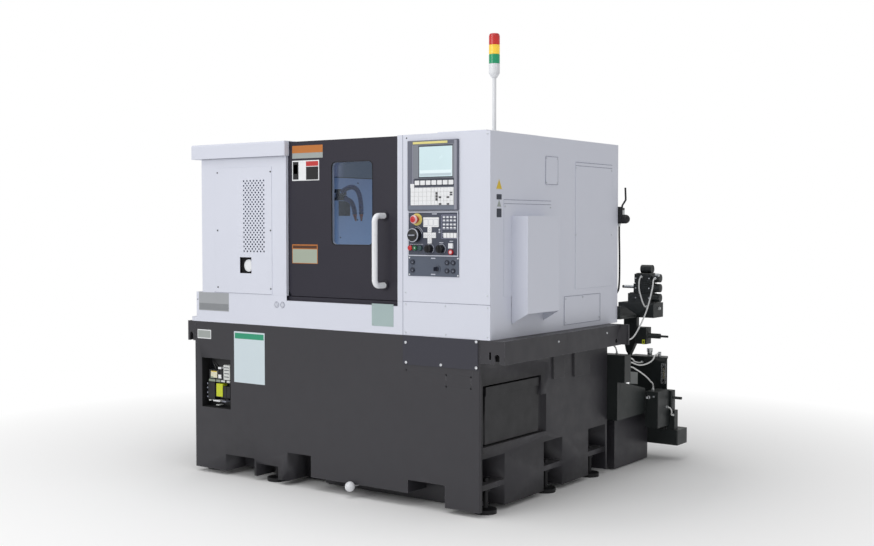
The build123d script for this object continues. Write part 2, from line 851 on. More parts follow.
# Display unit: housing with bezel, screen, softkeys and keypad
unit_front = -unit_proud
with BuildPart() as display_unit:
    block(unit_left, unit_right, unit_front, 0, unit_bottom, unit_bottom + unit_height)
    chamfer(display_unit.faces().sort_by(Axis.Y)[0].edges(), length=bezel_radius / 2)
    block(unit_left + 12, unit_right - 12, 0, unit_depth, unit_bottom + 12,
          unit_bottom + unit_height - 12)
    screen_left = unit_left + screen_start
    screen_bottom = unit_bottom + screen_z
    block(screen_left, screen_left + screen_width, unit_front, unit_front + screen_recess,
          screen_bottom, screen_bottom + screen_height, mode=Mode.SUBTRACT)
    with Locations((unit_left + softkey_start + (softkey_count - 1) * softkey_pitch / 2,
                    unit_front - key_proud / 2, unit_bottom + softkey_z)):
        with GridLocations(softkey_pitch, 1, softkey_count, 1):
            Box(softkey_width, key_proud, softkey_height)
    keypad_left = unit_left + keypad_start
    key_width = (keypad_width - keypad_gap * (keypad_columns - 1)) / keypad_columns
    key_height = (keypad_height - keypad_gap * (keypad_rows - 1)) / keypad_rows
    with Locations(Location((keypad_left + keypad_width / 2, unit_front - key_proud / 2,
                             unit_bottom + keypad_z + keypad_height / 2), (90, 0, 0))):
        with GridLocations(key_width + keypad_gap, key_height + keypad_gap, keypad_columns, keypad_rows):
            Box(key_width, key_height, key_proud)

# Operator panel: raised frame round a field with key blocks, and holes for what turns or is pushed
panel_front = -operator_proud
operator_top = operator_bottom + operator_height
estop_x, estop_z = unit_left + 55, operator_top - 37
wheel_x, wheel_z = unit_left + 45, operator_bottom + 98
knob_z = operator_bottom + 35
feed_x, speed_x = unit_left + 128, unit_left + 194
button_z = operator_bottom + 38
button_xs = [unit_left + 16, unit_left + 44, unit_left + 73]
square_x, square_z = unit_right - 40, operator_bottom + 50
reset_x, reset_z = unit_right - 40, operator_bottom + 21
button_hole = button_radius + running_gap
shaft_holes = [(estop_x, estop_z, estop_stem_radius + running_gap),
               (wheel_x, wheel_z, wheel_neck_radius + running_gap),
               (feed_x, knob_z, knob_neck_radius + running_gap),
               (speed_x, knob_z, knob_neck_radius + running_gap),
               (reset_x, reset_z, button_hole)]
shaft_holes += [(x, button_z, button_hole) for x in button_xs]
with BuildPart() as operator_panel:
    block(unit_left, unit_right, panel_front, 0, operator_bottom, operator_top)
    block(unit_left + 6, unit_right - 6, panel_front, panel_front + 1.5, operator_bottom + 6,
          operator_top - 6, mode=Mode.SUBTRACT)
    block(unit_left + 12, unit_right - 12, 0, 14, operator_bottom + 10, operator_top - 10)
    face_y = panel_front + 1.5
    # Membrane keys: a white block, a jog cross, a dark grid and a lower row
    block(unit_left + 92, unit_left + 180, face_y - key_proud, face_y, operator_top - 72, operator_top - 28)
    for dx, dz in ((0, 26), (0, -26), (-24, 0), (24, 0), (0, 0)):
        with Locations((unit_left + 128, face_y - key_proud / 2, operator_bottom + 98 + dz)):
            with Locations((dx, 0, 0)):
                Box(22, key_proud, 24)
    with Locations(Location((unit_right - 49, face_y - key_proud / 2, operator_top - 52), (90, 0, 0))):
        with GridLocations(20, 17, 4, 4):
            Box(15, 12, key_proud)
    with Locations(Location((unit_right - 45, face_y - key_proud / 2, operator_bottom + 98), (90, 0, 0))):
        with GridLocations(19, 1, 4, 1):
            Box(17, 22, key_proud)
    # Ring round the emergency button
    rod_y(estop_x, face_y - 3, face_y, estop_z, estop_ring_radius)
    for x, z, radius in shaft_holes:
        rod_y(x, panel_front - 5, 14, z, radius, mode=Mode.SUBTRACT)
    with Locations((square_x, panel_front + 10, square_z)):
        Box(square_button_width + 2 * running_gap, 34, square_button_width + 2 * running_gap,
            mode=Mode.SUBTRACT)

with BuildPart() as socket_plate:
    socket_top = socket_bottom + socket_plate_height
    block(unit_left, unit_right, panel_front / 2, 0, socket_bottom, socket_top)
    block(unit_left + 12, unit_right - 12, 0, 12, socket_bottom + 10, socket_top - 10)
    for x in (unit_left + 27, unit_right - 64, unit_right - 30):
        for z in (socket_bottom + 28, socket_bottom + 66):
            rod_y(x, panel_front / 2 - socket_proud, panel_front / 2, z, socket_radius)
    key_x, key_z = unit_left + 170, socket_bottom + 36
    rod_y(key_x, panel_front / 2 - 4, panel_front / 2, key_z, key_switch_radius + 6)
    rod_y(key_x, panel_front / 2 - 4, 12, key_z, key_switch_radius + running_gap, mode=Mode.SUBTRACT)

# Things that turn or are pushed on the two panels
with BuildPart() as emergency_button:
    cap_plane = Plane(origin=(estop_x, 0, estop_z), x_dir=(1, 0, 0), z_dir=(0, 0, 1))
    ring_front = face_y - 3
    cap_front = ring_front - estop_height
    with BuildSketch(cap_plane) as mushroom:
        with BuildLine():
            Polyline((0, 13), (estop_stem_radius, 13), (estop_stem_radius, ring_front - 12),
                     (estop_radius, ring_front - 15), (estop_radius, cap_front + 9),
                     (estop_radius * 0.75, cap_front + 2), (0, cap_front), close=True)
        make_face()
    revolve(axis=Axis((estop_x, 0, estop_z), (0, 1, 0)))

with BuildPart() as handwheel:
    rod_y(wheel_x, panel_front - wheel_height, panel_front - running_gap, wheel_z, wheel_radius)
    chamfer(handwheel.faces().sort_by(Axis.Y)[0].edges(), length=3)
    rod_y(wheel_x, panel_front - running_gap, 13, wheel_z, wheel_neck_radius)
    block(wheel_x - 24, wheel_x + 20, panel_front - wheel_height - 4, panel_front - wheel_height,
          wheel_z - 5, wheel_z + 5)


def build_knob(x, z):
    """Control knob with a pointer bar across its face."""
    rod_y(x, panel_front - knob_height, panel_front - running_gap, z, knob_radius)
    block(x - 4, x + 4, panel_front - knob_height - 8, panel_front - knob_height,
          z - knob_radius + 2, z + knob_radius - 2)
    rod_y(x, panel_front - running_gap, 13, z, knob_neck_radius)


def build_button(x, z):
    """Round push button standing proud of the panel."""
    rod_y(x, panel_front - button_proud, button_depth, z, button_radius)


with BuildPart() as feed_knob:
    build_knob(feed_x, knob_z)

with BuildPart() as speed_knob:
    build_knob(speed_x, knob_z)

with BuildPart() as stop_button:
    build_button(button_xs[0], button_z)

with BuildPart() as start_button:
    build_button(button_xs[1], button_z)

with BuildPart() as hold_button:
    build_button(button_xs[2], button_z)

with BuildPart() as reset_button:
    build_button(reset_x, reset_z)

with BuildPart() as square_button:
    with Locations((square_x, (button_depth + panel_front - button_proud) / 2, square_z)):
        Box(square_button_width, button_depth - panel_front + button_proud, square_button_width)

with BuildPart() as key_switch:
    key_front = panel_front / 2 - 8
    rod_y(key_x, key_front, 11, key_z, key_switch_radius)
    block(key_x - 1.5, key_x + 1.5, key_front - 22, key_front, key_z - 9, key_z + 9)

# Signal lamp: pole with foot and lamp base, and three lenses stacked on it
lamp_z = roof_z + pole_length
lens_z = lamp_z + lamp_base_height
with BuildPart() as lamp_pole:
    rod_z(pole_x, pole_y, roof_z, roof_z + pole_foot_height, pole_foot_radius)
    rod_z(pole_x, pole_y, roof_z, lamp_z, pole_radius)
    with BuildSketch(Plane.XY.offset(lamp_z)):
        with Locations((pole_x, pole_y)):
            Circle(pole_radius + 3)
    with BuildSketch(Plane.XY.offset(lamp_z + lamp_base_height / 3)):
        with Locations((pole_x, pole_y)):
            Circle(lamp_radius)
    loft()
    rod_z(pole_x, pole_y, lamp_z + lamp_base_height / 3, lens_z, lamp_radius)

with BuildPart() as lamp_lenses:
    for tier in range(3):
        tier_z = lens_z + tier * lens_height
        rod_z(pole_x, pole_y, tier_z, tier_z + lens_height, lamp_radius)
        with BuildSketch(Plane.XY.offset(tier_z)) as lens_groove:
            with Locations((pole_x, pole_y)):
                Circle(lamp_radius)
                Circle(lamp_radius - 1.5, mode=Mode.SUBTRACT)
        extrude(amount=2, mode=Mode.SUBTRACT)
    top_z = lens_z + 3 * lens_height
    rod_z(pole_x, pole_y, top_z, top_z + lamp_cap_height, lamp_radius - 3)

# Slant bed: casting whose slanted face carries two ways, with a level ledge behind it
ledge_z = spindle_z + (ledge_start - spindle_y) - bed_drop * sqrt(2)
bed_toe = spindle_y + (deck_z - spindle_z) + bed_drop * sqrt(2)
with BuildPart() as slant_bed:
    with BuildSketch(Plane.YZ.offset(bed_left)) as bed_profile:
        with BuildLine():
            Polyline((bed_toe, deck_z), (bed_rear, deck_z), (bed_rear, ledge_z),
                     (ledge_start, ledge_z), close=True)
        make_face()
    extrude(amount=bed_length)
    head_right = door_left - head_from_door
    head_left = head_right - head_length
    for u in (way_low, way_high):
        slant_block(head_right, bed_right, u, u + way_width, -bed_drop, way_height - bed_drop)
    # End bracket that holds the long screw's bearing and its servo motor
    screw_u = (way_low + way_width + way_high) / 2
    screw_v = screw_rise - bed_drop + screw_radius
    slant_block(bed_right - 40, bed_right, screw_u - 45, screw_u + 45, -bed_drop, screw_v + 40)
    screw_y, screw_z = slanted(screw_u, screw_v)
    rod_x(bed_right - 40, bed_right, screw_y, screw_z, screw_radius + shaft_gap, mode=Mode.SUBTRACT)

# Headstock: casting on the bed's slant with the spindle's bore through it
spindle_axis = Axis((0, spindle_y, spindle_z), (1, 0, 0))
spindle_plane = Plane(origin=(0, spindle_y, spindle_z), x_dir=(1, 0, 0), z_dir=(0, -1, 0))
with BuildPart() as headstock:
    slant_block(head_left, head_right, -head_low, head_high, -bed_drop, head_top)
    fillet(headstock.edges().filter_by(Axis.X).group_by(Axis.Z)[-1], radius=24)
    rod_x(head_left, head_right, spindle_y, spindle_z, spindle_radius + journal_gap, mode=Mode.SUBTRACT)
    for x in (head_left + head_length * 0.3, head_left + head_length * 0.7):
        slant_block(x - 8, x + 8, -head_low, head_high, head_top, head_top + 12)

# Spindle: hollow shaft with its nose flange and the belt pulley on its tail, turned about one axis
nose_x = head_right + running_gap
tail_x = head_left - spindle_tail
with BuildPart() as spindle:
    with BuildSketch(spindle_plane) as spindle_profile:
        with BuildLine():
            Polyline((tail_x, spindle_bore_radius), (tail_x, spindle_radius - 8),
                     (head_left - 8, spindle_radius - 8), (head_left - 8, spindle_radius),
                     (nose_x, spindle_radius), (nose_x, nose_radius),
                     (nose_x + nose_length, nose_radius), (nose_x + nose_length, spindle_bore_radius),
                     close=True)
        make_face()
    revolve(axis=spindle_axis)
    pulley_x = head_left - 14 - pulley_width
    with BuildSketch(spindle_plane) as pulley_profile:
        with BuildLine():
            Polyline((pulley_x, spindle_radius - 8), (pulley_x, pulley_radius),
                     (pulley_x + pulley_rim, pulley_radius),
                     (pulley_x + pulley_rim, pulley_radius - belt_groove_depth),
                     (pulley_x + pulley_width - pulley_rim, pulley_radius - belt_groove_depth),
                     (pulley_x + pulley_width - pulley_rim, pulley_radius),
                     (pulley_x + pulley_width, pulley_radius),
                     (pulley_x + pulley_width, spindle_radius - 8), close=True)
        make_face()
    revolve(axis=spindle_axis)

# Chuck: body with a through bore and three slots for its jaws
chuck_back = nose_x + nose_length
chuck_front = chuck_back + chuck_length
jaw_start = chuck_front - jaw_tail
with BuildPart() as chuck:
    rod_x(chuck_back, chuck_front, spindle_y, spindle_z, chuck_radius)
    chamfer(chuck.faces().sort_by(Axis.X)[-1].edges(), length=5)
    rod_x(chuck_back, chuck_front, spindle_y, spindle_z, chuck_bore_radius, mode=Mode.SUBTRACT)
    for turn in (0, 120, 240):
        with Locations(Location((0, spindle_y, spindle_z), (turn, 0, 0))):
            with Locations((jaw_start + jaw_tail / 2, 0, chuck_radius / 2)):
                Box(jaw_tail + 2 * running_gap, jaw_width + 2 * running_gap, chuck_radius + 10,
                    mode=Mode.SUBTRACT)


def build_jaw(turn):
    """Stepped jaw whose root runs in a slot of the chuck's face, turned about the spindle's axis."""
    root_mid = (jaw_start + chuck_front) / 2
    step = jaw_length / 2
    with Locations(Location((0, spindle_y, spindle_z), (turn, 0, 0))):
        with Locations((root_mid + running_gap, 0, jaw_inner + jaw_length / 2)):
            Box(jaw_tail - running_gap, jaw_width, jaw_length)
        with Locations((chuck_front + jaw_proud / 4 + running_gap / 2, 0, jaw_inner + jaw_length / 2)):
            Box(jaw_proud / 2 + running_gap, jaw_width, jaw_length)
        with Locations((chuck_front + jaw_proud * 0.75, 0, jaw_inner + jaw_length - step / 2)):
            Box(jaw_proud / 2, jaw_width, step)


with BuildPart() as chuck_jaw_1:
    build_jaw(0)

with BuildPart() as chuck_jaw_2:
    build_jaw(120)

with BuildPart() as chuck_jaw_3:
    build_jaw(240)

# Drawbar cylinder on the spindle's tail, with a stationary-looking collar and a through bore
with BuildPart() as draw_cylinder:
    with BuildSketch(spindle_plane) as cylinder_profile:
        with BuildLine():
            Polyline((tail_x - cylinder_length, spindle_bore_radius),
                     (tail_x - cylinder_length, cylinder_radius * 0.55),
                     (tail_x - cylinder_length * 0.6, cylinder_radius * 0.55),
                     (tail_x - cylinder_length * 0.6, cylinder_radius), (tail_x, cylinder_radius),
                     (tail_x, spindle_bore_radius), close=True)
        make_face()
    revolve(axis=spindle_axis)

# Spindle motor on the bed's ledge, its pulley in line with the spindle's
motor_z = ledge_z + motor_foot + motor_width / 2
motor_y = (ledge_start + bed_rear) / 2
motor_left = head_left + motor_from_head
with BuildPart() as spindle_motor:
    block(motor_left, motor_left + motor_length, motor_y - motor_width / 2,
          motor_y + motor_width / 2, motor_z - motor_width / 2, motor_z + motor_width / 2)
    fillet(spindle_motor.edges().filter_by(Axis.X), radius=18)
    for side in (-1, 1):
        for level in range(-3, 4):
            fin_z = motor_z + level * motor_width / 9
            fin_y = motor_y + side * motor_width / 2
            block(motor_left + 30, motor_left + motor_length - 30, fin_y - 5, fin_y + 5,
                  fin_z - 3, fin_z + 3, mode=Mode.SUBTRACT)
    block(motor_left + 20, motor_left + motor_length - 20, motor_y - motor_width / 2 + 20,
          motor_y + motor_width / 2 - 20, ledge_z, motor_z - motor_width / 2 + 2)
    rod_x(pulley_x - 4, motor_left, motor_y, motor_z, motor_shaft_radius)

with BuildPart() as motor_pulley:
    motor_plane = Plane(origin=(0, motor_y, motor_z), x_dir=(1, 0, 0), z_dir=(0, -1, 0))
    inner_radius = motor_shaft_radius + journal_gap
    with BuildSketch(motor_plane) as small_pulley_profile:
        with BuildLine():
            Polyline((pulley_x, inner_radius), (pulley_x, motor_pulley_radius),
                     (pulley_x + pulley_rim, motor_pulley_radius),
                     (pulley_x + pulley_rim, motor_pulley_radius - belt_groove_depth),
                     (pulley_x + pulley_width - pulley_rim, motor_pulley_radius - belt_groove_depth),
                     (pulley_x + pulley_width - pulley_rim, motor_pulley_radius),
                     (pulley_x + pulley_width, motor_pulley_radius),
                     (pulley_x + pulley_width, inner_radius), close=True)
        make_face()
    revolve(axis=Axis((0, motor_y, motor_z), (1, 0, 0)))

# Drive belts: loops of rubber round both pulleys, a small clearance off their grooves
belt_inner_big = pulley_radius - belt_groove_depth + running_gap
belt_inner_small = motor_pulley_radius - belt_groove_depth + running_gap
belt_span = pulley_width - 2 * pulley_rim - 2
belt_width = belt_span / belt_grooves - 3
with BuildPart() as drive_belts:
    for number in range(belt_grooves):
        belt_x = pulley_x + pulley_rim + 1 + (number + 0.5) * belt_span / belt_grooves - belt_width / 2
        for extra, loop_mode in ((belt_thickness, Mode.ADD), (0, Mode.SUBTRACT)):
            with BuildSketch(Plane.YZ.offset(belt_x)) as belt_loop:
                with Locations((spindle_y, spindle_z)):
                    Circle(belt_inner_big + extra)
                with Locations((motor_y, motor_z)):
                    Circle(belt_inner_small + extra)
                make_hull()
            extrude(amount=belt_width, mode=loop_mode)

# Saddle: slides along the ways, carries the turret's own inclined ways and its screw
saddle_right = bed_right - saddle_right_gap
saddle_left = saddle_right - saddle_length
saddle_v = way_height - bed_drop + slide_gap
saddle_top = saddle_v + saddle_thickness
with BuildPart() as saddle:
    slant_block(saddle_left, saddle_right, saddle_low, saddle_high, saddle_v, saddle_top)
    for low, high in ((saddle_left, saddle_left + way_width), (saddle_right - way_width, saddle_right)):
        slant_block(low, high, saddle_low, saddle_high, saddle_top, saddle_top + way_height)
    # Nut housing round the long screw
    slant_block(saddle_left + 60, saddle_right - 60, screw_u - 36, screw_u + 36,
                slide_gap - bed_drop, saddle_v)
    rod_x(saddle_left, saddle_right, screw_y, screw_z, screw_radius + shaft_gap, mode=Mode.SUBTRACT)
    # Bearing bracket and servo motor at the top end of the inclined screw
    x_screw_v = saddle_top + x_screw_radius + 6
    mid_x = (saddle_left + saddle_right) / 2
    slant_block(mid_x - 40, mid_x + 40, saddle_high - 30, saddle_high, saddle_top, x_screw_v + 30)
    slant_block(mid_x - servo_width / 2, mid_x + servo_width / 2, saddle_high,
                saddle_high + servo_length * 0.8, x_screw_v - 45, x_screw_v + 65)
    bore_y, bore_z = slanted(saddle_high - 15, x_screw_v)
    with Locations(Location((mid_x, bore_y, bore_z), (slant - 90, 0, 0))):
        Cylinder(x_screw_radius + shaft_gap, 30, mode=Mode.SUBTRACT)

# Screws: a long one along the bed and a short one up the saddle, both with ground journals
with BuildPart() as z_screw:
    rod_x(head_right + running_gap, bed_right - running_gap, screw_y, screw_z, screw_radius)

with BuildPart() as x_screw:
    low_y, low_z = slanted((saddle_low + saddle_high) / 2, x_screw_v)
    with Locations(Location((mid_x, low_y, low_z), (slant - 90, 0, 0))):
        Cylinder(x_screw_radius, saddle_high - saddle_low - 2 * running_gap)

# Turret housing: slides on the saddle and holds the disc's spigot
housing_v = saddle_top + way_height + slide_gap
housing_top = housing_v + turret_body_height
housing_low = turret_u - turret_body_width / 2
housing_high = turret_u + turret_body_width / 2
housing_left = saddle_left
with BuildPart() as turret_housing:
    slant_block(housing_left, saddle_right, housing_low, housing_high, housing_v, housing_top)
    fillet(turret_housing.edges().filter_by(Axis.X), radius=16)
    slant_block(mid_x - 30, mid_x + 30, housing_low + 40, housing_high - 40,
                saddle_top + slide_gap, housing_v + 20)
    with Locations(Location((mid_x, *slanted(turret_u, x_screw_v)), (slant - 90, 0, 0))):
        Cylinder(x_screw_radius + shaft_gap, turret_body_width, mode=Mode.SUBTRACT)
    # Seat for the disc's spigot
    turret_y, turret_z = slanted(turret_u, 0)
    rod_x(housing_left, housing_left + turret_spigot_length, turret_y, turret_z,
          turret_spigot_radius + journal_gap, mode=Mode.SUBTRACT)

# Turret disc: twelve-sided plate with a spigot, and tool blocks with pockets on every other flat
disc_right = housing_left - running_gap
disc_left = disc_right - turret_thickness
with BuildPart() as turret_disc:
    with BuildSketch(Plane.YZ.offset(disc_left)) as disc_outline:
        with Locations((turret_y, turret_z)):
            RegularPolygon(turret_radius, turret_sides, major_radius=False)
    extrude(amount=turret_thickness)
    chamfer(turret_disc.faces().sort_by(Axis.X)[0].edges(), length=4)
    rod_x(disc_right, disc_right + turret_spigot_length, turret_y, turret_z, turret_spigot_radius)
    rod_x(disc_left - 6, disc_left, turret_y, turret_z, turret_radius * 0.45)
    for station in range(turret_stations):
        turn = first_station + station * 360 / turret_stations
        with Locations(Location((0, turret_y, turret_z), (turn, 0, 0))):
            with Locations(((disc_left + disc_right) / 2, 0, turret_radius + tool_block_height / 2)):
                Box(turret_thickness - 20, tool_block_width, tool_block_height)
            with Locations(((disc_left + disc_right) / 2, 0, turret_radius + tool_block_height / 2)):
                with Locations(Rotation(0, 90, 0)):
                    Cylinder(tool_pocket_radius, turret_thickness, mode=Mode.SUBTRACT)

# Work chamber's liner: folded sheet of left wall, rear wall with its slanted top, and right wall
fold_z = casing_z + liner_fold_z
liner_top = roof_z - casing_sheet - 4
liner_floor = deck_z
fold_y = liner_rear - liner_fold_run
liner_front = door_back_face + upper_rail_gap + upper_rail_width + liner_front_gap
bed_gap = (way_height + 3) * sqrt(2)
with BuildPart() as chamber_liner:
    with BuildSketch(Plane.YZ.offset(chamber_left)) as liner_profile:
        with BuildLine():
            Polyline((liner_front, liner_floor), (liner_rear, liner_floor),
                     (liner_rear, fold_z + liner_fold_run), (fold_y + 40, liner_top),
                     (liner_front, liner_top), close=True)
        make_face()
    extrude(amount=chamber_right - chamber_left)
    with BuildSketch(Plane.YZ.offset(chamber_left + liner_sheet)) as liner_hollow:
        with BuildLine():
            Polyline((liner_front, liner_floor), (liner_rear - liner_sheet, liner_floor),
                     (liner_rear - liner_sheet, fold_z + liner_fold_run - liner_sheet),
                     (fold_y + 40 - liner_sheet, liner_top - liner_sheet),
                     (liner_front, liner_top - liner_sheet), close=True)
        make_face()
    extrude(amount=chamber_right - chamber_left - 2 * liner_sheet, mode=Mode.SUBTRACT)
    # Opening for the chuck and the bed's slanted face in both side walls
    rod_x(chamber_left, chamber_left + liner_sheet, spindle_y, spindle_z,
          chuck_radius + chuck_hole_gap, mode=Mode.SUBTRACT)
    with BuildSketch(Plane.YZ.offset(chamber_left)) as bed_clearance:
        with BuildLine():
            Polyline((bed_toe - bed_gap, liner_floor), (bed_rear + 6, liner_floor),
                     (bed_rear + 6, ledge_z + 6), (ledge_start - bed_gap + 6, ledge_z + 6), close=True)
        make_face()
    extrude(amount=chamber_right - chamber_left, mode=Mode.SUBTRACT)
    rod_x(chamber_left, chamber_left + liner_sheet, screw_y, screw_z, screw_radius + 6, mode=Mode.SUBTRACT)

# Coolant hoses: distribution block on the liner's left wall and two jointed hoses with nozzles
block_z = casing_z + hose_block_z
hose_left = chamber_left + liner_sheet
hose_right = hose_left + hose_block_size
hose_routes = [
    [(0, 0, 0), (34, -6, 16), (74, -16, 26), (114, -28, 22), (148, -40, 0), (170, -50, -36),
     (180, -56, -78), (184, -60, -120)],
    [(0, 0, 0), (30, -20, -12), (64, -42, -16), (98, -62, -28), (124, -76, -56), (138, -84, -94)],
]
with BuildPart() as coolant_hoses:
    block(hose_left, hose_right, hose_block_y - hose_block_size / 2, hose_block_y + hose_block_size / 2,
          block_z - hose_block_size / 2, block_z + hose_block_size / 2)
    chamfer(coolant_hoses.edges().filter_by(Axis.X), length=5)
    for route, start_y, start_z in ((hose_routes[0], -14, 14), (hose_routes[1], 14, -14)):
        joints = [(hose_right + dx, hose_block_y + start_y + dy, block_z + start_z + dz)
                  for dx, dy, dz in route]
        for first, second in zip(joints, joints[1:]):
            run = Vector(*second) - Vector(*first)
            bead_plane = Plane(origin=first, z_dir=run)
            with BuildSketch(bead_plane.offset(-2)):
                Circle(hose_bead_radius)
            with BuildSketch(bead_plane.offset(run.length + 2)):
                Circle(hose_bead_radius * 0.72)
            loft()
    tip = Plane(origin=joints[-1], z_dir=run)
    with BuildSketch(tip):
        Circle(hose_bead_radius * 0.72)
    with BuildSketch(tip.offset(34)):
        Circle(4)
    loft()

# Rear duct: upper box behind the base's corner and a lower box whose top falls to the rear
with BuildPart() as rear_duct:
    duct_top = duct_box_z + duct_box_height
    block(base_right - 40, base_right + duct_box_width, base_depth, base_depth + duct_box_depth,
          duct_box_z + tail_box_height, duct_top)
    with BuildSketch(Plane.YZ.offset(base_right - 240)) as tail_profile:
        with BuildLine():
            Polyline((base_depth, duct_box_z), (base_depth + duct_box_depth + tail_box_length, duct_box_z),
                     (base_depth + duct_box_depth + tail_box_length,
                      duct_box_z + tail_box_height - tail_box_drop),
                     (base_depth + 40, duct_box_z + tail_box_height),
                     (base_depth, duct_box_z + tail_box_height), close=True)
        make_face()
    extrude(amount=240 + tail_box_width)
    fillet(rear_duct.edges().filter_by(Axis.Z).sort_by(Axis.X)[-1], radius=4)

# Low box across the coolant tank's rear end, carrying the oil tank
with BuildPart() as rear_box:
    sump_z = oil_tank_z - sump_box_height
    block(sump_box_right - sump_box_width, sump_box_right, tank_rear, tank_rear + sump_box_depth,
          sump_z, oil_tank_z)
    fillet(rear_box.edges().filter_by(Axis.Z), radius=6)

# Oil tank with its lid, filler cap, breather and the sight gauge at its front's right edge. Its rear
# right corner is cut off
oil_left = oil_tank_right - oil_tank_width
oil_front = tank_rear + oil_tank_setback
oil_back = oil_front + oil_tank_depth
oil_top = oil_tank_z + oil_tank_height
lid_top = oil_top + oil_lid_thickness
filler_x = oil_tank_right - filler_from_right
breather_x = oil_tank_right - breather_from_right
filler_y = (oil_front + oil_back) / 2
with BuildPart() as hydraulic_tank:
    for lap, low, high in ((0, oil_tank_z, oil_top), (oil_lid_lap, oil_top, lid_top)):
        with BuildSketch(Plane.XY.offset(low)):
            with BuildLine():
                Polyline((oil_left - lap, oil_front - lap), (oil_tank_right + lap, oil_front - lap),
                         (oil_tank_right + lap, oil_back - oil_corner[1]),
                         (oil_tank_right - oil_corner[0] + lap, oil_back + lap),
                         (oil_left - lap, oil_back + lap), close=True)
            make_face()
        extrude(amount=high - low)
    rod_z(filler_x, filler_y, lid_top, lid_top + filler_neck[1], filler_neck[0])
    rod_z(filler_x, filler_y, lid_top + filler_neck[1], lid_top + filler_neck[1] + filler_cap[1],
          filler_cap[0])
    rod_z(breather_x, filler_y, lid_top, lid_top + breather_size[1], breather_size[0])
    gauge_width, gauge_drop, gauge_length = gauge_strip
    block(oil_tank_right - 2 - gauge_width, oil_tank_right - 2, oil_front - 6, oil_front,
          oil_top - gauge_drop - gauge_length, oil_top - gauge_drop)

# Terminal box in front of the oil tank, with the gland of its lead
with BuildPart() as pump_box:
    box_y = tank_rear - pump_box_depth
    block(0, pump_box_width, box_y, tank_rear, pump_box_z, pump_box_z + pump_box_height)
    fillet(pump_box.edges().filter_by(Axis.Z), radius=3)
    rod_y(20, box_y - 16, box_y, pump_box_z + 170, 9)
    rod_y(52, box_y - 5, box_y, pump_box_z + 176, 5)

# Oil pump in front of the tank, standing on the low box, with its shaft stub to the right
pump_front = tank_rear + 2
pump_y = pump_front + pump_size[1] / 2
with BuildPart() as hydraulic_pump:
    block(pump_right - pump_size[0], pump_right, pump_front, pump_front + pump_size[1], pump_z,
          pump_z + pump_size[2])
    chamfer(hydraulic_pump.faces().sort_by(Axis.X)[-1].edges(), length=3)
    rod_x(pump_right, pump_right + pump_stub[1], pump_y, pump_z + pump_stub[2], pump_stub[0])
    block(pump_foot[0], pump_foot[1], pump_y - pump_foot[2] / 2, pump_y + pump_foot[2] / 2, oil_tank_z,
          pump_z)

# Valve manifold behind the casing: block on an arm, a stack of valves on it and a post below
manifold_left = manifold_right - manifold_width
manifold_back = manifold_y + manifold_depth
manifold_mid = (manifold_y + manifold_back) / 2
manifold_top = manifold_z + manifold_height
valve_left = manifold_left + valve_from_left
valve_right = manifold_right - valve_from_right
valve_front = manifold_y + valve_border
valve_back = manifold_back - valve_border
plug_x = valve_right + solenoid_plug[0]
with BuildPart() as valve_manifold:
    block(manifold_left, manifold_right, manifold_y, manifold_back, manifold_z, manifold_top)
    # Arm and foot plate on the casing's rear wall
    block(manifold_left, manifold_left + arm_width, casing_depth, manifold_y, manifold_z,
          manifold_z + arm_thickness)
    block(manifold_left, manifold_left + arm_width, casing_depth, casing_depth + arm_thickness,
          manifold_z, manifold_top - 10)
    # Valves one on another, each with its solenoid to the right
    for number, step in enumerate(valve_steps):
        valve_z = manifold_top + number * valve_height
        joint_z = valve_z + valve_height - valve_gap
        block(valve_left + step, valve_right, valve_front, valve_back, valve_z, joint_z)
        block(valve_left + step + 8, valve_right - 8, valve_front + 6, valve_back - 6, joint_z,
              valve_z + valve_height)
        rod_x(valve_right, valve_right + solenoid_length, manifold_mid, valve_z + valve_height / 2,
              solenoid_radius)
    stack_top = manifold_top + len(valve_steps) * valve_height
    rod_x(top_solenoid[0], top_solenoid[1], manifold_mid, stack_top + solenoid_radius - 1,
          solenoid_radius)
    # Connector in front of the upper valve's solenoid
    block(plug_x - solenoid_plug[1] / 2, plug_x + solenoid_plug[1] / 2,
          manifold_mid - solenoid_radius - 7, manifold_mid, stack_top - valve_height / 2 - 10,
          stack_top - valve_height / 2 + 10)
    # Hand lever of the pressure valve at the stack's left
    rod_x(valve_left - lever_reach, valve_left + valve_steps[1] + 6, manifold_mid,
          manifold_top + lever_rise, lever_radius)
    # Post below the block, tapering towards the base's corner
    with BuildSketch(Plane.XZ.offset(-(manifold_y + post_setback))) as post_profile:
        with BuildLine():
            Polyline((post_left, manifold_z), (post_right, manifold_z),
                     (post_right, manifold_z - post_drop), (post_tip[0], manifold_z - post_tip[1]),
                     (post_left + post_foot[0], manifold_z - post_tip[1] + post_foot[1]),
                     (post_left, manifold_z - post_drop), close=True)
        make_face()
    extrude(amount=-post_thickness)
    # Pump block beside the post, with its plug to the right
    plug_top = manifold_z - plug_block_drop
    plug_z = plug_top - plug_block_size[1] / 2
    post_mid = manifold_y + post_setback + post_thickness / 2
    block(post_right, plug_block_right, post_mid - plug_block_size[0] / 2,
          post_mid + plug_block_size[0] / 2, plug_top - plug_block_size[1], plug_top)
    rod_x(plug_block_right, plug_reach - plug_nose, post_mid, plug_z, plug_radii[0])
    rod_x(plug_reach - plug_nose, plug_reach, post_mid, plug_z, plug_radii[1])

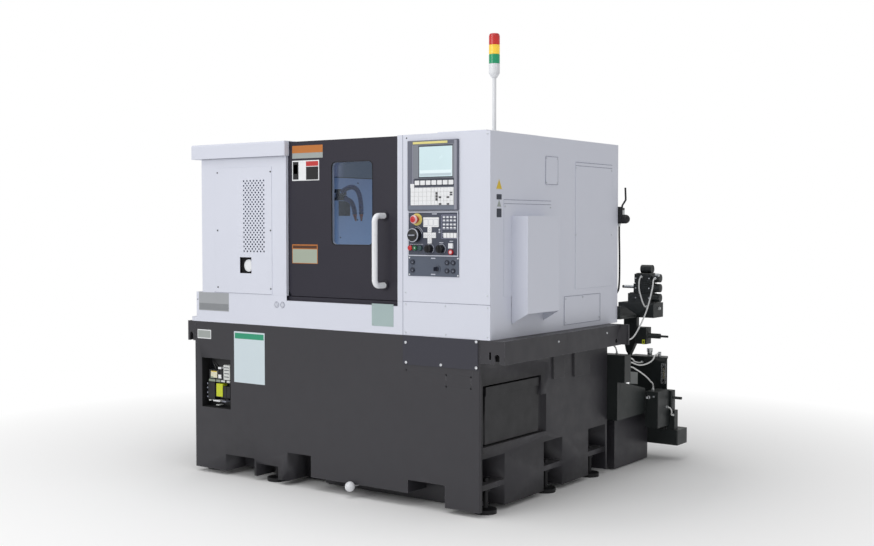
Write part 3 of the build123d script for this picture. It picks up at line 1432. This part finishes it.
# Air filter and regulator on the casing's rear wall, its supply pipe bent upwards
with BuildPart() as air_regulator:
    regulator_left = regulator_x - regulator_width
    block(regulator_left, regulator_x + 6, casing_depth, casing_depth + 10, regulator_z - 10,
          regulator_z + regulator_top + 6)
    block(regulator_left, regulator_x, casing_depth + 10, casing_depth + regulator_depth,
          regulator_z - bowl_radius, regulator_z + regulator_top)
    rod_x(regulator_x, regulator_x + bowl_length - bowl_radius, casing_depth + 30, regulator_z, bowl_radius)
    with Locations((regulator_x + bowl_length - bowl_radius, casing_depth + 30, regulator_z)):
        Sphere(bowl_radius)
    pipe_x, pipe_y, pipe_z = regulator_x - 6, casing_depth + 28, regulator_z + regulator_top
    with BuildLine() as supply:
        FilletPolyline((pipe_x, pipe_y, pipe_z), (pipe_x, pipe_y, pipe_z + 12),
                       (pipe_x + 21, pipe_y, pipe_z + 42), (pipe_x + 18, pipe_y, pipe_z + 108), radius=14)
    with BuildSketch(Plane(origin=supply.line @ 0, z_dir=supply.line % 0)):
        Circle(5)
    sweep(path=supply.line)

# Leads and one air hose between the rear units, each held at both ends, as tangent runs and arcs
def corner_radii(points):
    """Radius of each corner: 0.45 of its shorter run over the tangent of half its turn."""
    radii = []
    for before, corner, after in zip(points, points[1:], points[2:]):
        first = Vector(*corner) - Vector(*before)
        second = Vector(*after) - Vector(*corner)
        turn = radians(first.get_angle(second))
        radii.append(0.45 * min(first.length, second.length) / tan(turn / 2))
    return radii


def held_tube(points, radius):
    """Round tube along tangent runs and arcs through a list of points."""
    with BuildLine() as route:
        FilletPolyline(*points, radius=corner_radii(points))
    with BuildSketch(Plane(origin=route.line @ 0, z_dir=route.line % 0)) as section:
        Circle(radius)
    sweep(section.sketch, path=route.line)


# Each route leaves and meets its pieces square to their faces
duct_back = base_depth + duct_box_depth
lug_back = rail_length + rear_lug_length
lead_stub = 30
top_valve_z = stack_top - valve_height / 2
socket_y = manifold_mid - solenoid_radius - 7
foot_front = pump_y - pump_foot[2] / 2
lead_routes = [
    [(41, valve_front, 1060), (41, valve_front - lead_stub, 1060), (44, valve_front - 46, 1000),
     (60, valve_front - 50, 952), (80, manifold_y - lead_stub, 898), (80, manifold_y, 898)],
    [(plug_x, socket_y, top_valve_z), (plug_x, socket_y - lead_stub, top_valve_z),
     (124, manifold_y - 14, 1016), (120, manifold_y - 28, 972), (104, manifold_y - 36, 896),
     (80, manifold_y - 50, 822), (72, manifold_y - 100, 768), (84, manifold_y - 170, 742),
     (96, lug_back + lead_stub, 736), (96, lug_back, 736)],
    [(34, duct_back, 622), (34, duct_back + lead_stub, 622), (24, duct_back + 75, 606),
     (-8, duct_back + 150, 588), (-46, duct_back + 270, 570), (-88, duct_back + 365, 556),
     (-117, oil_front - lead_stub - 10, 547), (-117, oil_front, 547)],
    [(34, duct_back, 600), (34, duct_back + lead_stub, 600), (30, duct_back + 75, 585),
     (20, duct_back + 170, 566), (8, duct_back + 300, 566), (-6, tank_rear - 30, 580),
     (breather_x, oil_front - 26, 600), (breather_x, filler_y - breather_size[0], 600)],
    [(34, duct_back, 576), (34, duct_back + lead_stub, 576), (46, duct_back + 75, 552),
     (48, duct_back + 130, 530), (40, duct_back + 220, 494), (26, duct_back + 290, 462),
     (20, duct_back + 333, 450), (20, duct_back + 333, pump_box_z + pump_box_height)],
    [(base_right - 12, base_depth, 704), (base_right - 12, base_depth + lead_stub, 704),
     (-22, base_depth + 40, 686), (-22, base_depth + 40, duct_top)],
    [(pump_box_width, tank_rear - 46, 316), (pump_box_width + 26, tank_rear - 46, 316),
     (pump_box_width + 36, tank_rear - 42, 292), (pump_foot[1] - 8, tank_rear - 28, 266),
     (pump_foot[1] - 8, foot_front, 266)],
]
hose_radius = 5
hose_x = regulator_x - regulator_width + 8
hose_y = casing_depth + 26
hose_route = [(hose_x, hose_y, regulator_z - bowl_radius), (hose_x, hose_y, regulator_z - 76),
              (hose_x + 2, hose_y + 2, regulator_z - 176), (hose_x + 3, hose_y + 2, regulator_z - 276),
              (hose_x + 1, hose_y + 4, regulator_z - 346), (hose_x - 6, hose_y + 4, regulator_z - 396),
              (hose_x - 6, casing_depth, regulator_z - 396)]
with BuildPart() as rear_leads:
    for route_points in lead_routes:
        held_tube(route_points, lead_radius)
    held_tube(hose_route, hose_radius)


def shift_to_footprint(solid):
    """Put the frame's origin at the middle of the whole machine's footprint."""
    return solid.moved(Location((-middle_x, -middle_y, 0)))


pieces = {
    "base": base, "base_cover_plate": base_cover_plate, "levelling_feet": levelling_feet,
    "chip_drawer": chip_drawer, "breaker_panel": breaker_panel, "drain_cap": drain_cap,
    "coolant_tank": coolant_tank, "apron": apron, "left_cover": left_cover, "vent_panel": vent_panel,
    "hood": hood, "cabinet": cabinet, "column_plate": column_plate, "side_panels": side_panels,
    "duct_hood": duct_hood, "door": door, "door_glass": door_glass, "door_handle": door_handle,
    "door_rails": door_rails, "display_unit": display_unit, "operator_panel": operator_panel,
    "socket_plate": socket_plate, "emergency_button": emergency_button, "handwheel": handwheel,
    "feed_knob": feed_knob, "speed_knob": speed_knob, "stop_button": stop_button,
    "start_button": start_button, "hold_button": hold_button, "reset_button": reset_button,
    "square_button": square_button, "key_switch": key_switch, "lamp_pole": lamp_pole,
    "lamp_lenses": lamp_lenses, "slant_bed": slant_bed, "headstock": headstock, "spindle": spindle,
    "chuck": chuck, "chuck_jaw_1": chuck_jaw_1, "chuck_jaw_2": chuck_jaw_2,
    "chuck_jaw_3": chuck_jaw_3, "draw_cylinder": draw_cylinder, "spindle_motor": spindle_motor,
    "motor_pulley": motor_pulley, "drive_belts": drive_belts, "saddle": saddle, "z_screw": z_screw,
    "x_screw": x_screw, "turret_housing": turret_housing, "turret_disc": turret_disc,
    "chamber_liner": chamber_liner, "coolant_hoses": coolant_hoses, "rear_duct": rear_duct,
    "rear_box": rear_box, "hydraulic_tank": hydraulic_tank, "pump_box": pump_box,
    "hydraulic_pump": hydraulic_pump, "valve_manifold": valve_manifold,
    "air_regulator": air_regulator, "rear_leads": rear_leads,
}

# The frame's origin: middle of the footprint, from the left rail to the pump plug and from the
# grip of the door to the rear of the low box
reach_right = plug_reach
reach_left = rail_left
reach_front = door_front - handle_reach - handle_diameter / 2
reach_back = tank_rear + sump_box_depth
middle_x = (reach_left + reach_right) / 2
middle_y = (reach_front + reach_back) / 2
for label, piece in pieces.items():
    finished = shift_to_footprint(piece.part)
    finished.label = label
    export_step(finished, f"parts/{label}.step")
